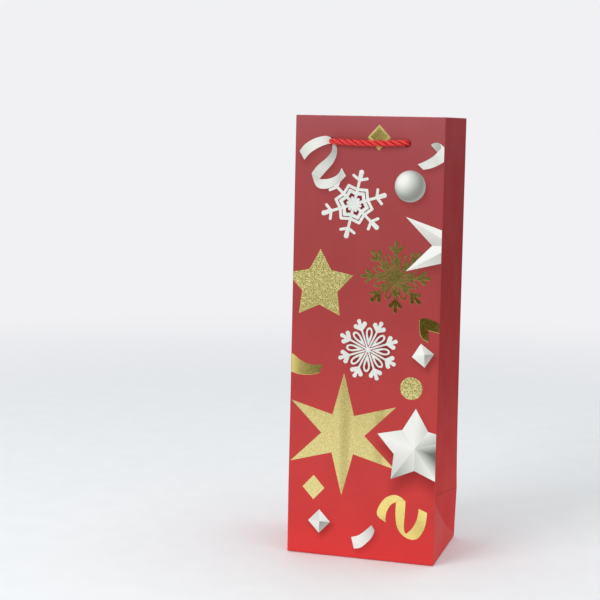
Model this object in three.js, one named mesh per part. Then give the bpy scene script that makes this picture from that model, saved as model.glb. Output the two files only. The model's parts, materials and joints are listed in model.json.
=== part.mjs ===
// A wine gift bag: a tall paper bag with pleated sides, a turned-in top edge over card strips,
// a glued block bottom under a loose board, and two rope handles with knotted tails inside.
// Millimetres, +Z up, front towards -Y, origin on the floor at the centre of the base.
import * as THREE from "three";

// Driving dimensions
const WIDTH = 120;
const DEPTH = 90;
const HEIGHT = 350;
const PAPER = 0.3; // laminated art paper, about 240 g/m2
const CARD = 1.0; // strip that stiffens the top edge behind the rope holes
const BOARD = 1.5; // greyboard laid on the bottom flaps
const GAP = 0.3; // clearance between layers that touch on the real bag
const HEM_HEIGHT = 42; // depth of the turned-in top edge
const CARD_HEIGHT = 38;
const SEAM_WIDTH = 15; // glued overlap of the two ends of the sheet
const FLAP_REACH = 62; // front and back bottom flaps, which overlap by 35 mm
const SIDE_FLAP_REACH = 44;
const FLAP_BEVEL = 9; // corners of a flap cut away so that it tucks in
const ROPE = 5; // diameter of the twisted rope
const HOLE = 6.6; // punched rope hole
const HOLE_SPACING = 60;
const HOLE_DROP = 20; // hole centre below the top edge
const TAIL = 110; // length of rope put away inside, below each hole
const SPAN_BOW = 1.2; // how far the slack stretch stands off the face at its middle
const SPAN_SAG = 0.8;
const KNOT = { across: 10, deep: 9.2 };
const KNOT_REACH = 10.6; // how far in from its tail a knot's centre stands

// Places worked out from them
const halfWidth = WIDTH / 2;
const halfDepth = DEPTH / 2;
const layer = PAPER + GAP;
const insideWall = halfDepth - layer; // where the next layer behind the front paper starts
const hemOuter = insideWall - CARD - GAP;
const hemInner = hemOuter - PAPER;
const holeHeight = HEIGHT - HOLE_DROP;
const hemBottom = HEIGHT - HEM_HEIGHT;

const printedPaper = new THREE.MeshStandardMaterial({ color: 0xb8302f, roughness: 0.42, metalness: 0 });
const whitePaper = new THREE.MeshStandardMaterial({ color: 0xf1eee8, roughness: 0.75, metalness: 0 });
const stripCard = new THREE.MeshStandardMaterial({ color: 0xd9d2c4, roughness: 0.85, metalness: 0 });
const greyBoard = new THREE.MeshStandardMaterial({ color: 0x9d978c, roughness: 0.9, metalness: 0 });
const redRope = new THREE.MeshStandardMaterial({ color: 0xe01716, roughness: 0.38, metalness: 0 });

const bag = new THREE.Group();

function piece(name, geometry, material) {
  const mesh = new THREE.Mesh(geometry, material);
  mesh.name = name;
  return mesh;
}

// A flat plate between two corners of the part's own frame.
function plate(name, low, high, material) {
  const size = high.map((value, axis) => value - low[axis]);
  const mesh = piece(name, new THREE.BoxGeometry(...size), material);
  mesh.position.set(...high.map((value, axis) => (value + low[axis]) / 2));
  return mesh;
}

function outlineOf(points) {
  return new THREE.Shape(points.map(([x, y]) => new THREE.Vector2(x, y)));
}

// An upright sheet in the XZ plane with the two rope holes, from y = outer to y = outer + thickness.
function punchedSheet(name, halfAcross, bottom, top, outer, thickness, material) {
  const outline = outlineOf([[-halfAcross, bottom], [halfAcross, bottom], [halfAcross, top], [-halfAcross, top]]);
  for (const side of [-1, 1]) {
    const hole = new THREE.Path();
    hole.absarc((side * HOLE_SPACING) / 2, holeHeight, HOLE / 2, 0, 2 * Math.PI, true);
    outline.holes.push(hole);
  }
  const geometry = new THREE.ExtrudeGeometry(outline, { depth: thickness, bevelEnabled: false, curveSegments: 10 });
  geometry.rotateX(Math.PI / 2);
  geometry.translate(0, outer + thickness, 0);
  return piece(name, geometry, material);
}

// Front and back are the same set of pieces, the back one turned half round.
function wallWithHem(side) {
  const wall = new THREE.Group();
  wall.add(punchedSheet(`${side}_panel`, halfWidth, 0, HEIGHT, -halfDepth, PAPER, printedPaper));
  const cardTop = HEIGHT - layer;
  wall.add(
    punchedSheet(`${side}_handle_card`, halfWidth - 3, cardTop - CARD_HEIGHT, cardTop, -insideWall, CARD, stripCard),
  );
  wall.add(
    punchedSheet(`${side}_hem`, halfWidth - layer - GAP, hemBottom, HEIGHT, -hemOuter, PAPER, printedPaper),
  );
  return wall;
}

// A pleated side is creased down its middle into two halves, front and back.
function gusset(side, sign) {
  const outer = sign * halfWidth;
  const inner = sign * (halfWidth - PAPER);
  const [low, high] = [Math.min(outer, inner), Math.max(outer, inner)];
  const crease = GAP / 2;
  const hemFace = sign * (halfWidth - layer);
  const hemBack = sign * (halfWidth - layer - PAPER);
  return [
    plate(`${side}_gusset_front_half`, [low, -insideWall, 0], [high, -crease, HEIGHT], printedPaper),
    plate(`${side}_gusset_back_half`, [low, crease, 0], [high, insideWall, HEIGHT], printedPaper),
    plate(
      `${side}_hem`,
      [Math.min(hemFace, hemBack), -(hemInner - GAP), hemBottom],
      [Math.max(hemFace, hemBack), hemInner - GAP, HEIGHT],
      printedPaper,
    ),
  ];
}

// A bottom flap: root along one edge of the base, free end bevelled. Built pointing to +Y.
function bottomFlap(name, rootWidth, reach, level) {
  const half = rootWidth / 2;
  const outline = outlineOf([
    [-half, 0],
    [half, 0],
    [half - FLAP_BEVEL, reach],
    [-half + FLAP_BEVEL, reach],
  ]);
  const geometry = new THREE.ExtrudeGeometry(outline, { depth: PAPER, bevelEnabled: false });
  const mesh = piece(name, geometry, whitePaper);
  mesh.position.z = level;
  return mesh;
}

function blockBottom() {
  const bottom = new THREE.Group();
  const acrossFront = WIDTH - 2 * layer;
  const acrossSide = DEPTH - 2 * layer;
  const front = bottomFlap("front_bottom_flap", acrossFront, FLAP_REACH, 0);
  front.position.y = -insideWall;
  const back = bottomFlap("back_bottom_flap", acrossFront, FLAP_REACH, layer);
  back.rotation.z = Math.PI;
  back.position.y = insideWall;
  const right = bottomFlap("right_bottom_flap", acrossSide, SIDE_FLAP_REACH, 2 * layer);
  right.rotation.z = Math.PI / 2;
  right.position.x = halfWidth - layer;
  const left = bottomFlap("left_bottom_flap", acrossSide, SIDE_FLAP_REACH, 2 * layer);
  left.rotation.z = -Math.PI / 2;
  left.position.x = -(halfWidth - layer);
  bottom.add(front, back, right, left);
  return bottom;
}

// The handle rope, half of its route: from the middle of the stretch across the face, round into
// the hole, down behind the hem as a tail, and in to its knot.
const across = halfDepth + GAP + ROPE / 2; // line of the rope in front of the face
const tailLine = hemInner - GAP - ROPE / 2;
const turn = (across - tailLine) / 2; // radius of both bends at the hole
const slant = turn * Math.SQRT1_2;
const holeX = HOLE_SPACING / 2;
const tailEnd = holeHeight - TAIL;
const knotLine = tailLine - KNOT_REACH;

const halfRoute = [
  [0, -across - SPAN_BOW, holeHeight - SPAN_SAG],
  [9, -across - 0.9 * SPAN_BOW, holeHeight - 0.9 * SPAN_SAG],
  [18, -across - 0.5 * SPAN_BOW, holeHeight - 0.5 * SPAN_SAG],
  [holeX - turn, -across, holeHeight],
  [holeX - turn + slant, -across + turn - slant, holeHeight],
  [holeX, -across + turn, holeHeight],
  [holeX, -tailLine - turn + slant, holeHeight - turn + slant],
  [holeX, -tailLine, holeHeight - turn],
  [holeX, -tailLine, holeHeight - 26],
  [holeX, -tailLine, holeHeight - 58],
  [holeX, -tailLine, tailEnd + 26],
  [holeX, -tailLine, tailEnd + turn],
  [holeX, -tailLine + turn - slant, tailEnd + turn - slant],
  [holeX, -tailLine + turn, tailEnd],
  [holeX, -knotLine - KNOT.deep / 2 - GAP, tailEnd],
];

function ropeHandle(side) {
  const handle = new THREE.Group();
  const right = halfRoute.map(([x, y, z]) => new THREE.Vector3(x, y, z));
  const left = right.slice(1).reverse().map((point) => new THREE.Vector3(-point.x, point.y, point.z));
  const route = new THREE.CatmullRomCurve3([...left, ...right], false, "centripetal");
  const section = new THREE.Shape();
  section.absarc(0, 0, ROPE / 2, 0, 2 * Math.PI);
  const options = { steps: 84, curveSegments: 5, bevelEnabled: false, extrudePath: route };
  handle.add(piece(`${side}_handle_rope`, new THREE.ExtrudeGeometry(section, options), redRope));
  // Left and right are as seen from the front of the bag, so they change over on the back handle.
  const names = side === "front" ? ["left", "right"] : ["right", "left"];
  for (const [index, sign] of [-1, 1].entries()) {
    const knot = piece(`${side}_${names[index]}_knot`, new THREE.SphereGeometry(1, 12, 8), redRope);
    knot.scale.set(KNOT.across / 2, KNOT.deep / 2, KNOT.across / 2);
    knot.position.set(sign * holeX, -knotLine, tailEnd);
    handle.add(knot);
  }
  return handle;
}

for (const [side, turned] of [["front", 0], ["back", Math.PI]]) {
  const face = new THREE.Group();
  face.add(wallWithHem(side), ropeHandle(side));
  face.rotation.z = turned;
  bag.add(face);
}
bag.add(...gusset("right", 1), ...gusset("left", -1));

// The sheet closes with a glued overlap inside the left side, next to the back. Its unprinted face shows.
const seamFace = -(halfWidth - layer);
bag.add(
  plate(
    "side_seam_tab",
    [seamFace, insideWall - SEAM_WIDTH, 3 * layer],
    [seamFace + PAPER, insideWall, hemBottom - GAP],
    whitePaper,
  ),
);

bag.add(blockBottom());
const boardLevel = 3 * layer;
const boardEdge = layer + PAPER + 2 * GAP; // clear of the walls and of the seam tab
bag.add(
  plate(
    "base_board",
    [-halfWidth + boardEdge, -halfDepth + boardEdge, boardLevel],
    [halfWidth - boardEdge, halfDepth - boardEdge, boardLevel + BOARD],
    greyBoard,
  ),
);

export default bag;
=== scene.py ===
# %% [markdown]
# # A wine gift bag, step by step
#
# A bottle bag is one printed sheet of laminated paper, folded and glued round a former. Its top edge is
# turned in over two strips of card, and two twisted ropes hang through punched holes, each held by a
# knot at both ends. This lesson builds the looks of such a bag around a finished, measured model.
# It starts with the frame and the camera, then makes the ropes, the folded sheet, the printed design,
# the board in the base, and at the end the materials and the studio.

# %% Load the measured model
import json
import math

import bmesh
import bpy
import numpy as np
from mathutils import Matrix, Vector

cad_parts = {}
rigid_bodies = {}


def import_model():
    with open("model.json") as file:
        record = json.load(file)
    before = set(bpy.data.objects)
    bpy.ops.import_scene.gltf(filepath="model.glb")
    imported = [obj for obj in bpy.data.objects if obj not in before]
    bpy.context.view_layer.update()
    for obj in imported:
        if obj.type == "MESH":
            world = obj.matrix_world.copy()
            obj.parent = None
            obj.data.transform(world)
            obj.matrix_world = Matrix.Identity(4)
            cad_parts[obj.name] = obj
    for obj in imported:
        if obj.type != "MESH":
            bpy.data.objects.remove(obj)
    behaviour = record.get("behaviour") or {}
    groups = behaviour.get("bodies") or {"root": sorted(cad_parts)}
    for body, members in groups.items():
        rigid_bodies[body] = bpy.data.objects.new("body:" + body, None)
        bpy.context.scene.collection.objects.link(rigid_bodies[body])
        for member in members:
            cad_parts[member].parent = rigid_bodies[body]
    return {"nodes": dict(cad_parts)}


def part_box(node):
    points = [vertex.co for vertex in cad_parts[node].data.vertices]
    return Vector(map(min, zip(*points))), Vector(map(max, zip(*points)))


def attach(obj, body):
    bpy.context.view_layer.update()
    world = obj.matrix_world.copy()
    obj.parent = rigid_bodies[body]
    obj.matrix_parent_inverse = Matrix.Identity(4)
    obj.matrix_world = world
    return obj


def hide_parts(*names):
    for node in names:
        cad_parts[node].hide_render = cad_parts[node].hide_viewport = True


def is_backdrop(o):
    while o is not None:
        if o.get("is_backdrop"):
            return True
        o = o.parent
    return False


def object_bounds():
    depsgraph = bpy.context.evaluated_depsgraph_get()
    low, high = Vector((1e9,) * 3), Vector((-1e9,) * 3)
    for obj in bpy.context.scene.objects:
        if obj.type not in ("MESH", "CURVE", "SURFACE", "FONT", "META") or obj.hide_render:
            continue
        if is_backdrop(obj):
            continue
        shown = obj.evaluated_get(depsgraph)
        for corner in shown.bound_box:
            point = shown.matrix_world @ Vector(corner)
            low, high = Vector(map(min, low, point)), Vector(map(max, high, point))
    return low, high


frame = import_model()
model_low, model_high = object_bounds()

MM = 0.001
panel_low, panel_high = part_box("front_panel")
WIDTH = panel_high.x - panel_low.x
HEIGHT = panel_high.z
HALF_WIDTH = WIDTH / 2
HALF_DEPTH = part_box("back_panel")[1].y
PAPER = panel_high.y - panel_low.y
HEM_FACE = -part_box("front_hem")[1].y
SIDE_HEM_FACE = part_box("right_hem")[0].x
HEM_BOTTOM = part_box("front_hem")[0].z
knot_low, knot_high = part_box("front_right_knot")
print(f"bag {WIDTH / MM:.1f} x {2 * HALF_DEPTH / MM:.1f} x {HEIGHT / MM:.1f} mm, paper {PAPER / MM:.2f} mm")

# %% [markdown]
# ## The camera
#
# A tall object looks calm through a long lens from a little above, because its upright edges stay
# nearly parallel. The camera stands 1.1 m in front of the bag and to its right, looks down by
# seven degrees, and is rolled by one degree, as a camera held by hand is.

# %% Set up the camera
CAMERA_PLACE = (0.2675, -1.1336, 0.3445)
LENS, SENSOR = 86.8, 36  # mm
CAMERA_YAW, CAMERA_DIP, CAMERA_ROLL = math.radians(16.41), math.radians(7.02), math.radians(1.1)
camera = bpy.data.objects.new("camera", bpy.data.cameras.new("camera"))
bpy.context.scene.collection.objects.link(camera)
camera.data.sensor_width = SENSOR
camera.data.lens = LENS
camera.matrix_world = (
    Matrix.Translation(CAMERA_PLACE)
    @ Matrix.Rotation(CAMERA_YAW, 4, "Z")
    @ Matrix.Rotation(math.pi / 2 - CAMERA_DIP, 4, "X")
    @ Matrix.Rotation(CAMERA_ROLL, 4, "Z")
)
bpy.context.scene.camera = camera
print(f"camera {camera.location.length:.2f} m from the bag's foot, lens {LENS} mm")

# %% [markdown]
# ## Working as by hand
#
# Blender's operators act on whatever is selected. Small helpers keep that under control: they leave a
# single object selected, open it for editing, and select parts of a mesh by where they are.


# %% Helpers for selecting
def pick(*objects):
    """Leaves only these objects selected, with the last one active."""
    bpy.ops.object.select_all(action="DESELECT")
    for obj in objects:
        obj.select_set(True)
    bpy.context.view_layer.objects.active = objects[-1]


def edit(obj):
    """Opens a mesh in edit mode with all its points selected."""
    pick(obj)
    bpy.ops.object.mode_set(mode="EDIT")
    bpy.ops.mesh.select_mode(type="VERT")
    bpy.ops.mesh.select_all(action="SELECT")


def leave():
    bpy.ops.object.mode_set(mode="OBJECT")


def choose(obj, kind, test):
    """In edit mode, selects the verts, edges or faces that pass a test."""
    bpy.ops.mesh.select_mode(type={"verts": "VERT", "edges": "EDGE", "faces": "FACE"}[kind])
    bpy.ops.mesh.select_all(action="DESELECT")
    mesh = bmesh.from_edit_mesh(obj.data)
    for element in [element for element in getattr(mesh, kind) if test(element)]:
        element.select_set(True)
    mesh.select_flush_mode()
    bmesh.update_edit_mesh(obj.data)


def use_modifier(obj, kind, **settings):
    """Adds one modifier and applies it, so that its result is plain mesh."""
    pick(obj)
    modifier = obj.modifiers.new(kind.lower(), kind)
    for name, value in settings.items():
        setattr(modifier, name, value)
    bpy.ops.object.modifier_apply(modifier=modifier.name)


def points_of(obj):
    """The points of a mesh as an array of rows."""
    points = np.zeros(len(obj.data.vertices) * 3, np.float32)
    obj.data.vertices.foreach_get("co", points)
    return points.reshape(-1, 3).astype(float)


def set_points(obj, points):
    obj.data.vertices.foreach_set("co", points.astype(np.float32).ravel())
    obj.data.update()


def smooth_step(low, high, value):
    part = np.clip((value - low) / (high - low), 0, 1)
    return part * part * (3 - 2 * part)


# %% [markdown]
# ## The ropes' route
#
# Each handle is 30 cm of 5 mm rope. Hanging slack, it shows only as a short stretch across the face:
# the rest has slipped in through the holes and hangs behind the hem as two tails. The route has few
# points, one for each place where the rope turns, and a centripetal Catmull-Rom curve joins them,
# which never loops or overshoots at a tight turn.

# %% The route of a handle
ROPE = 5 * MM
ROPE_LINE = 47.8 * MM  # the stretch in front of the face
TAIL_LINE = 40.0 * MM
HOLE_X = 30 * MM
HOLE_Z = 330 * MM
TAIL_END = 220 * MM
SPAN_BOW, SPAN_SAG = 1.2 * MM, 0.8 * MM
TURN = (ROPE_LINE - TAIL_LINE) / 2
SLANT = TURN * math.sqrt(0.5)
KNOT_SIDE = knot_low.y - 0.3 * MM

half_route = [
    (part * HOLE_X, -ROPE_LINE - bow * SPAN_BOW, HOLE_Z - bow * SPAN_SAG)
    for part, bow in ((0, 1), (0.3, 0.9), (0.6, 0.5))
]
half_route += [
    (HOLE_X - TURN, -ROPE_LINE, HOLE_Z),
    (HOLE_X - TURN + SLANT, -ROPE_LINE + TURN - SLANT, HOLE_Z),
]
half_route += [
    (HOLE_X, y, z)
    for y, z in (
        (-ROPE_LINE + TURN, HOLE_Z),
        (-TAIL_LINE - TURN + SLANT, HOLE_Z - TURN + SLANT),
        (-TAIL_LINE, HOLE_Z - TURN),
        (-TAIL_LINE, HOLE_Z - 26 * MM),
        (-TAIL_LINE, HOLE_Z - 58 * MM),
        (-TAIL_LINE, TAIL_END + 26 * MM),
        (-TAIL_LINE, TAIL_END + TURN),
        (-TAIL_LINE + TURN - SLANT, TAIL_END + TURN - SLANT),
        (-TAIL_LINE + TURN, TAIL_END),
        (KNOT_SIDE, TAIL_END),
    )
]
handle_route = [(-x, y, z) for x, y, z in half_route[:0:-1]] + half_route


def smooth_route(points, step):
    """Evenly spaced points on the centripetal Catmull-Rom curve through the given ones."""
    points = np.array(points, float)
    ends = 2 * points[[0, -1]] - points[[1, -2]]
    points = np.vstack([ends[0], points, ends[1]])
    fine = []
    for i in range(len(points) - 3):
        four = points[i : i + 4]
        gaps = np.sqrt(np.linalg.norm(np.diff(four, axis=0), axis=1))
        t0, t1, t2, t3 = np.concatenate([[0], np.cumsum(gaps)])
        t = np.linspace(t1, t2, 24, endpoint=False)[:, None]
        a1 = four[0] + (four[1] - four[0]) * (t - t0) / (t1 - t0)
        a2 = four[1] + (four[2] - four[1]) * (t - t1) / (t2 - t1)
        a3 = four[2] + (four[3] - four[2]) * (t - t2) / (t3 - t2)
        b1 = a1 + (a2 - a1) * (t - t0) / (t2 - t0)
        b2 = a2 + (a3 - a2) * (t - t1) / (t3 - t1)
        fine.append(b1 + (b2 - b1) * (t - t1) / (t2 - t1))
    fine = np.vstack([*fine, points[-2:-1]])
    along = np.concatenate([[0], np.cumsum(np.linalg.norm(np.diff(fine, axis=0), axis=1))])
    at = np.linspace(0, along[-1], round(along[-1] / step) + 1)
    return np.stack([np.interp(at, along, fine[:, k]) for k in range(3)], axis=1)


def length_of(line):
    return float(np.linalg.norm(np.diff(line, axis=0), axis=1).sum())


route = smooth_route(handle_route, 0.5 * MM)
print(f"handle rope {length_of(route) / MM:.0f} mm long")

# %% [markdown]
# ## Three strands
#
# The rope is three satin strands laid round each other to the right. Laid this way, the strands lean
# like the middle stroke of a Z when the rope is upright. Each strand is a bundle of yarns twisted the
# other way, which keeps the rope from unwinding. A plain tube with a bump map looks flat at its
# outline, so each strand is a real tube that winds round the rope's line, and its own section is
# fluted by the yarns.

# %% Lay the strands
STRANDS = 3
LAY = 17.6 * MM  # one full turn of the rope
YARNS = 9
YARN_LAY = 9 * MM
RING = 18


def frames_along(line):
    """Tangents of a line, and side vectors that turn with it without twisting."""
    tangent = np.gradient(line, axis=0)
    tangent /= np.linalg.norm(tangent, axis=1)[:, None]
    side = np.zeros_like(line)
    start = np.cross(tangent[0], (0.31, 0.52, 0.79))
    side[0] = start / np.linalg.norm(start)
    for i in range(1, len(line)):
        step = side[i - 1] - tangent[i] * (side[i - 1] @ tangent[i])
        side[i] = step / np.linalg.norm(step)
    return tangent, side, np.cross(tangent, side)


def laid_rope(name, line, diameter, opening=None):
    """A rope of three strands along a line. opening widens the lay at places along it, as at a cut end."""
    strand = diameter * 0.255
    ride = diameter / 2 - strand
    opening = np.ones(len(line)) if opening is None else opening
    tangent, side, up = frames_along(line)
    along = np.concatenate([[0], np.cumsum(np.linalg.norm(np.diff(line, axis=0), axis=1))])
    angles = np.linspace(0, 2 * np.pi, RING, endpoint=False)
    verts, faces, around_uv, along_uv = [], [], [], []
    for k in range(STRANDS):
        turn = 2 * np.pi * (along / LAY + k / STRANDS)
        outward = np.cos(turn)[:, None] * side + np.sin(turn)[:, None] * up
        centre = line + outward * (ride * opening)[:, None]
        forward = np.gradient(centre, axis=0)
        forward /= np.linalg.norm(forward, axis=1)[:, None]
        out = outward - forward * (outward * forward).sum(1)[:, None]
        out /= np.linalg.norm(out, axis=1)[:, None]
        across = np.cross(forward, out)
        flute = 1 + 0.045 * np.cos(YARNS * (angles[None, :] + 2 * np.pi * along[:, None] / YARN_LAY))
        ring = strand * flute
        tube = (
            centre[:, None]
            + (ring * np.cos(angles))[..., None] * out[:, None]
            + (ring * np.sin(angles))[..., None] * across[:, None]
        )
        base = sum(len(v) for v in verts)
        verts.append(tube.reshape(-1, 3))
        rows = np.arange(len(line) - 1)[:, None] * RING
        here, after = np.arange(RING), (np.arange(RING) + 1) % RING
        quads = np.stack([rows + here, rows + after, rows + after + RING, rows + here + RING], axis=-1)
        faces += (quads.reshape(-1, 4) + base).tolist()
        last = base + (len(line) - 1) * RING
        faces += [(base + here[::-1]).tolist(), (last + here).tolist()]
        around_uv.append(np.tile(angles / (2 * np.pi), len(line)))
        along_uv.append(np.repeat(along, RING))
    mesh = bpy.data.meshes.new(name)
    mesh.from_pydata(np.vstack(verts).tolist(), [], faces)
    for label, values in (("yarn_round", around_uv), ("yarn_along", along_uv)):
        values = np.concatenate(values).astype(np.float32)
        mesh.attributes.new(label, "FLOAT", "POINT").data.foreach_set("value", values)
    mesh.shade_smooth()
    rope = bpy.data.objects.new(name, mesh)
    bpy.context.scene.collection.objects.link(rope)
    return rope


# %% [markdown]
# ## Knots with cut ends
#
# An overhand knot is the simplest stopper: one loop, and the end through it. Its line is the open form
# of a trefoil, so the knot is that curve, pulled tight until its turns press on each other. The end
# sticks out a few millimetres past the knot, and there the strands have begun to spread.

# %% Tie the knots
KNOT_ROPE = 4.3 * MM
KNOT_CENTRE = Vector(((knot_low.x + knot_high.x) / 2, (knot_low.y + knot_high.y) / 2, TAIL_END))


def make_knot(name, side, face):
    """A knot at one end of a handle: side is -1 or 1 for left or right, face -1 for front and 1 for back."""
    loops = [
        (0, -6.5, 0), (0.2, -4.2, 0.2), (1.9, -1.6, 1.9), (2.3, 1.4, 1.7), (0.2, 2.6, -0.9),
        (-2.1, 1.5, -2.3), (-2.5, -1.3, -1.4), (-0.9, -2.9, 1.3), (1.5, -1.6, 2.4), (2.5, 0.6, -0.2),
        (1.3, 0.4, -2.6), (-1.1, -0.6, -2.3), (-2.2, 0.2, 0.6), (-0.7, 2.4, 2.2), (0.5, 4.8, 1.3),
        (0.4, 7.5, -0.2), (0.1, 10.2, -2.4),
    ]
    line = smooth_route([(side * x * MM, -face * y * MM, z * MM) for x, y, z in loops], 0.4 * MM)
    middle = np.array((side * KNOT_CENTRE.x, -face * KNOT_CENTRE.y, KNOT_CENTRE.z))
    left = np.linspace(1, 0, len(line)) * length_of(line)
    opening = 1 + 1.1 * (1 - smooth_step(0, 5 * MM, left))
    return laid_rope(name, line + middle, KNOT_ROPE, opening)


def hand_over(piece, body, *nodes, slot):
    """Says which body a piece rides on and which CAD nodes it stands for. Its slot is not used."""
    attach(piece, body)
    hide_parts(*nodes)


handle_pieces = []
for face_name, face in (("front", -1), ("back", 1)):
    turned = route * (-face, -face, 1)
    rope = laid_rope(f"{face_name}_twisted_rope", turned, ROPE)
    hand_over(rope, f"{face_name}_handle", f"{face_name}_handle_rope", slot="rope_red")
    knots = []
    for side_name, side in (("left", -1), ("right", 1)):
        knots.append(make_knot(f"{face_name}_{side_name}_overhand_knot", side, face))
        hand_over(knots[-1], f"{face_name}_handle", f"{face_name}_{side_name}_knot", slot="rope_red")
    handle_pieces += [rope, *knots]
print("handles:", {piece.name: len(piece.data.polygons) for piece in handle_pieces})

# %% [markdown]
# ## How the paper stands
#
# Folded paper is never quite flat. The face has slow waves, the pleated sides keep the crease down
# their middle from the time the bag was stored flat, and near the foot they keep the slanting creases
# of the folded bottom. One function says how far any point of the paper is moved, and the sheet, the
# prints on it and the seam all use it, so they stay together.

# %% The shape that the paper takes
CREASE_FRONT, CREASE_BACK = 56.5, 42.0  # mm up the front and back edges of a side
FOLD_FRONT = 49.0  # where the slanting fold meets the front edge; it starts at the back corner
MOUTH_PULL = 0.8  # mm that each side of the mouth leans in
SLOW_WAVE, CROSS_WAVE = 0.26, 0.2  # mm, along the height and across the face
RIDGE_FRONT, RIDGE_BACK = 0.25, 1.25  # mm that the crease stands out
BAY = 2.0  # mm that the side falls in at the slanting fold
PLEAT_LINE, PLEAT_HOLLOW = 0.1, 0.3  # mm of the sharp and the soft part of the middle crease


def slanting_heights(y):
    """Heights in mm of the crease and of the slanting fold, across a side from front to back."""
    part = y / (2 * HALF_DEPTH / MM) + 0.5
    return CREASE_FRONT + (CREASE_BACK - CREASE_FRONT) * part, FOLD_FRONT * (1 - part)


def paper_shift(points):
    """Where each point of flat, square paper ends up, in metres."""
    x, y, z = points.T / MM
    part_x, part_y = x * MM / HALF_WIDTH, y * MM / HALF_DEPTH
    across = np.clip(y / (2 * HALF_DEPTH / MM) + 0.5, 0, 1)
    foot = smooth_step(0, 60, z)
    card = 1 - 0.85 * smooth_step(295, 315, z)
    # the face and the back: slow waves, held straight at the folds
    wave = SLOW_WAVE * np.sin(z / 34 + 0.7 + 2 * (y > 0)) + CROSS_WAVE * np.sin(x / 16 + z / 47 + (y > 0))
    on_face = smooth_step(41 / 45, 42 / 45, np.abs(part_y))
    out_y = on_face * np.clip(1 - part_x**2, 0, 1) * foot * card * wave
    # the sides: a crease line down the middle, a ridge and a valley near the foot
    on_side = np.clip(np.abs(part_x), 0, 1) ** 7
    crease, fold = slanting_heights(y)
    ridge_size = RIDGE_FRONT + (RIDGE_BACK - RIDGE_FRONT) * across
    ridge = ridge_size * np.where(z < crease, z / crease, np.exp(-(z - crease) / 38))
    bay = np.clip(1 - np.abs(z - fold) / 24, 0, 1) * np.sin(np.pi * across) * smooth_step(0, 14, z)
    pleat = PLEAT_LINE * np.exp(-np.abs(y) / 4) + PLEAT_HOLLOW * np.clip(1 - part_y**2, 0, 1)
    pleat = pleat * smooth_step(45, 130, z)
    out_x = on_side * (ridge - BAY * bay - pleat) - np.abs(part_x) * MOUTH_PULL * z * MM / HEIGHT
    moved = np.stack([x + np.sign(x) * out_x, y + np.sign(y) * out_y, z], axis=1)
    return moved * MM


# %% [markdown]
# ## Drawing the printed design
#
# The front carries a scatter of stars, snowflakes, ribbons and small cut shapes, in foil and in white
# ink, and the back repeats it. Foil stands a few hundredths of a millimetre above the paper and
# catches the light by itself, so every motif is a thin plate of its own and not a picture.
#
# The motifs are drawn flat, in millimetres from the panel's lower left corner, 1 mm thick. A last step
# trims each at the folds, cuts it on a grid so that it can follow the waves of the paper, thins it and
# stands it on the panel.

# %% Simple shapes of the design
PANEL = WIDTH / MM


def name_last(name):
    obj = bpy.context.object
    obj.name = obj.data.name = name
    return obj


def signed_area(corners):
    return sum(a[0] * b[1] - b[0] * a[1] for a, b in zip(corners, corners[1:] + corners[:1])) / 2


def outline_shape(name, corners):
    """A filled outline: a circle with as many corners as the outline, each moved to its place."""
    if signed_area(corners) < 0:
        corners = corners[::-1]
    bpy.ops.mesh.primitive_circle_add(vertices=len(corners), radius=1, fill_type="NGON")
    obj = name_last(name)
    for vertex, corner in zip(obj.data.vertices, corners):
        vertex.co = (*corner, 0)
    return obj


def star_corners(centre, tips, outer, inner):
    """Corners of an upright star, anticlockwise from its top tip."""
    corners = []
    for i in range(2 * tips):
        reach, turn = (inner if i % 2 else outer), math.pi * i / tips
        corners.append((centre[0] - reach * math.sin(turn), centre[1] + reach * math.cos(turn)))
    return corners


def diamond(centre, half_width, half_height):
    x, y = centre
    return [(x, y + half_height), (x - half_width, y), (x, y - half_height), (x + half_width, y)]


def face_up(obj):
    """Makes all faces of a flat shape look up."""
    edit(obj)
    bpy.ops.mesh.normals_make_consistent(inside=False)
    leave()
    obj.data.update()
    if obj.data.polygons[0].normal.z < 0:
        obj.data.flip_normals()
    return obj


def set_shade(obj, shade_at):
    """Stores how light the ink is at each corner of each face, from 0 to 1."""
    points = obj.data.vertices
    attribute = obj.data.attributes.new("shade", "FLOAT", "CORNER")
    attribute.data.foreach_set("value", [shade_at(points[loop.vertex_index].co) for loop in obj.data.loops])


# %% [markdown]
# The white stars and diamonds are drawn as if folded from paper: each facet is a triangle from the
# middle to one edge, printed in its own grey. A triangle fan has exactly those faces. A facet's grey
# is given at the middle, at its tip and at its inner corner, and runs smoothly between them.


# %% Cut shapes with facets
def facet_shape(name, middle, corners, greys):
    """A fan of facets from the middle to the corners. Each has greys (at middle, first and second corner)."""
    bpy.ops.mesh.primitive_circle_add(vertices=len(corners), radius=1, fill_type="TRIFAN")
    obj = name_last(name)
    hub = min(obj.data.vertices, key=lambda vertex: vertex.co.length).index
    rim = [vertex.index for vertex in obj.data.vertices if vertex.index != hub]
    obj.data.vertices[hub].co = (*middle, 0)
    for index, corner in zip(rim, corners):
        obj.data.vertices[index].co = (*corner, 0)
    attribute = obj.data.attributes.new("shade", "FLOAT", "CORNER")
    for face in obj.data.polygons:
        around = [obj.data.loops[loop].vertex_index for loop in face.loop_indices]
        pair = sorted(rim.index(index) for index in around if index != hub)
        first, second = (pair[1], pair[0]) if pair == [0, len(rim) - 1] else pair
        grey = dict(zip((hub, rim[first], rim[second]), greys[first]))
        for loop, index in zip(face.loop_indices, around):
            attribute.data[loop].value = grey[index]
    return obj


# %% [markdown]
# A ribbon is a long grid, one face wide, whose two edges follow two drawn lines. It darkens and
# lightens along its length, where it turns away from the light and back.


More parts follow.
